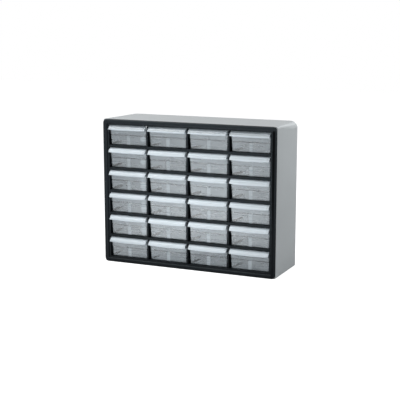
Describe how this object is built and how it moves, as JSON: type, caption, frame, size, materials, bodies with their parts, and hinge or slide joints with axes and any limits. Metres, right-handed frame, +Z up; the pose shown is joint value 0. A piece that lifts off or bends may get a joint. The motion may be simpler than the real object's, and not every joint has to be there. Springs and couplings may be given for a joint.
{
  "type": "parts bin cabinet",
  "caption": "Bench or wall cabinet with a grid of small clear pull-out drawers in a grey plastic casing, for sorting small hardware and craft parts.",
  "frame": {"origin": "bottom centre of the whole cabinet's box, drawers shut", "axes": "+X to the right of someone facing the drawers, +Y to the back, +Z up; drawers pull out towards -Y"},
  "size_m": [0.508, 0.171, 0.402],
  "materials": {
    "shell_plastic": "satin",
    "frame_plastic": "semi-gloss",
    "drawer_plastic": "clear, slightly hazy"
  },
  "bodies": {
    "cabinet": {"outer_shell": "shell_plastic", "front_bezel": "frame_plastic", "base_shelf": "frame_plastic", "row_shelf_1": "frame_plastic", "row_shelf_2": "frame_plastic", "row_shelf_3": "frame_plastic", "row_shelf_4": "frame_plastic", "row_shelf_5": "frame_plastic", "partition_1": "frame_plastic", "partition_2": "frame_plastic", "partition_3": "frame_plastic", "side_panel_left": "frame_plastic", "side_panel_right": "frame_plastic"},
    "drawer_row1_col1": {"drawer_row1_col1": "drawer_plastic"},
    "drawer_row1_col2": {"drawer_row1_col2": "drawer_plastic"},
    "drawer_row1_col3": {"drawer_row1_col3": "drawer_plastic"},
    "drawer_row1_col4": {"drawer_row1_col4": "drawer_plastic"},
    "drawer_row2_col1": {"drawer_row2_col1": "drawer_plastic"},
    "drawer_row2_col2": {"drawer_row2_col2": "drawer_plastic"},
    "drawer_row2_col3": {"drawer_row2_col3": "drawer_plastic"},
    "drawer_row2_col4": {"drawer_row2_col4": "drawer_plastic"},
    "drawer_row3_col1": {"drawer_row3_col1": "drawer_plastic"},
    "drawer_row3_col2": {"drawer_row3_col2": "drawer_plastic"},
    "drawer_row3_col3": {"drawer_row3_col3": "drawer_plastic"},
    "drawer_row3_col4": {"drawer_row3_col4": "drawer_plastic"},
    "drawer_row4_col1": {"drawer_row4_col1": "drawer_plastic"},
    "drawer_row4_col2": {"drawer_row4_col2": "drawer_plastic"},
    "drawer_row4_col3": {"drawer_row4_col3": "drawer_plastic"},
    "drawer_row4_col4": {"drawer_row4_col4": "drawer_plastic"},
    "drawer_row5_col1": {"drawer_row5_col1": "drawer_plastic"},
    "drawer_row5_col2": {"drawer_row5_col2": "drawer_plastic"},
    "drawer_row5_col3": {"drawer_row5_col3": "drawer_plastic"},
    "drawer_row5_col4": {"drawer_row5_col4": "drawer_plastic"},
    "drawer_row6_col1": {"drawer_row6_col1": "drawer_plastic"},
    "drawer_row6_col2": {"drawer_row6_col2": "drawer_plastic"},
    "drawer_row6_col3": {"drawer_row6_col3": "drawer_plastic"},
    "drawer_row6_col4": {"drawer_row6_col4": "drawer_plastic"}
  },
  "joints": [
    {"name": "drawer_row1_col1_slide", "type": "slide", "parent": "cabinet", "child": "drawer_row1_col1", "axis": [0, -1, 0], "range_m": [0, 0.1213]},
    {"name": "drawer_row1_col2_slide", "type": "slide", "parent": "cabinet", "child": "drawer_row1_col2", "axis": [0, -1, 0], "range_m": [0, 0.1213]},
    {"name": "drawer_row1_col3_slide", "type": "slide", "parent": "cabinet", "child": "drawer_row1_col3", "axis": [0, -1, 0], "range_m": [0, 0.1213]},
    {"name": "drawer_row1_col4_slide", "type": "slide", "parent": "cabinet", "child": "drawer_row1_col4", "axis": [0, -1, 0], "range_m": [0, 0.1213]},
    {"name": "drawer_row2_col1_slide", "type": "slide", "parent": "cabinet", "child": "drawer_row2_col1", "axis": [0, -1, 0], "range_m": [0, 0.1213]},
    {"name": "drawer_row2_col2_slide", "type": "slide", "parent": "cabinet", "child": "drawer_row2_col2", "axis": [0, -1, 0], "range_m": [0, 0.1213]},
    {"name": "drawer_row2_col3_slide", "type": "slide", "parent": "cabinet", "child": "drawer_row2_col3", "axis": [0, -1, 0], "range_m": [0, 0.1213]},
    {"name": "drawer_row2_col4_slide", "type": "slide", "parent": "cabinet", "child": "drawer_row2_col4", "axis": [0, -1, 0], "range_m": [0, 0.1213]},
    {"name": "drawer_row3_col1_slide", "type": "slide", "parent": "cabinet", "child": "drawer_row3_col1", "axis": [0, -1, 0], "range_m": [0, 0.1213]},
    {"name": "drawer_row3_col2_slide", "type": "slide", "parent": "cabinet", "child": "drawer_row3_col2", "axis": [0, -1, 0], "range_m": [0, 0.1213]},
    {"name": "drawer_row3_col3_slide", "type": "slide", "parent": "cabinet", "child": "drawer_row3_col3", "axis": [0, -1, 0], "range_m": [0, 0.1213]},
    {"name": "drawer_row3_col4_slide", "type": "slide", "parent": "cabinet", "child": "drawer_row3_col4", "axis": [0, -1, 0], "range_m": [0, 0.1213]},
    {"name": "drawer_row4_col1_slide", "type": "slide", "parent": "cabinet", "child": "drawer_row4_col1", "axis": [0, -1, 0], "range_m": [0, 0.1213]},
    {"name": "drawer_row4_col2_slide", "type": "slide", "parent": "cabinet", "child": "drawer_row4_col2", "axis": [0, -1, 0], "range_m": [0, 0.1213]},
    {"name": "drawer_row4_col3_slide", "type": "slide", "parent": "cabinet", "child": "drawer_row4_col3", "axis": [0, -1, 0], "range_m": [0, 0.1213]},
    {"name": "drawer_row4_col4_slide", "type": "slide", "parent": "cabinet", "child": "drawer_row4_col4", "axis": [0, -1, 0], "range_m": [0, 0.1213]},
    {"name": "drawer_row5_col1_slide", "type": "slide", "parent": "cabinet", "child": "drawer_row5_col1", "axis": [0, -1, 0], "range_m": [0, 0.1213]},
    {"name": "drawer_row5_col2_slide", "type": "slide", "parent": "cabinet", "child": "drawer_row5_col2", "axis": [0, -1, 0], "range_m": [0, 0.1213]},
    {"name": "drawer_row5_col3_slide", "type": "slide", "parent": "cabinet", "child": "drawer_row5_col3", "axis": [0, -1, 0], "range_m": [0, 0.1213]},
    {"name": "drawer_row5_col4_slide", "type": "slide", "parent": "cabinet", "child": "drawer_row5_col4", "axis": [0, -1, 0], "range_m": [0, 0.1213]},
    {"name": "drawer_row6_col1_slide", "type": "slide", "parent": "cabinet", "child": "drawer_row6_col1", "axis": [0, -1, 0], "range_m": [0, 0.1213]},
    {"name": "drawer_row6_col2_slide", "type": "slide", "parent": "cabinet", "child": "drawer_row6_col2", "axis": [0, -1, 0], "range_m": [0, 0.1213]},
    {"name": "drawer_row6_col3_slide", "type": "slide", "parent": "cabinet", "child": "drawer_row6_col3", "axis": [0, -1, 0], "range_m": [0, 0.1213]},
    {"name": "drawer_row6_col4_slide", "type": "slide", "parent": "cabinet", "child": "drawer_row6_col4", "axis": [0, -1, 0], "range_m": [0, 0.1213]}
  ]
}
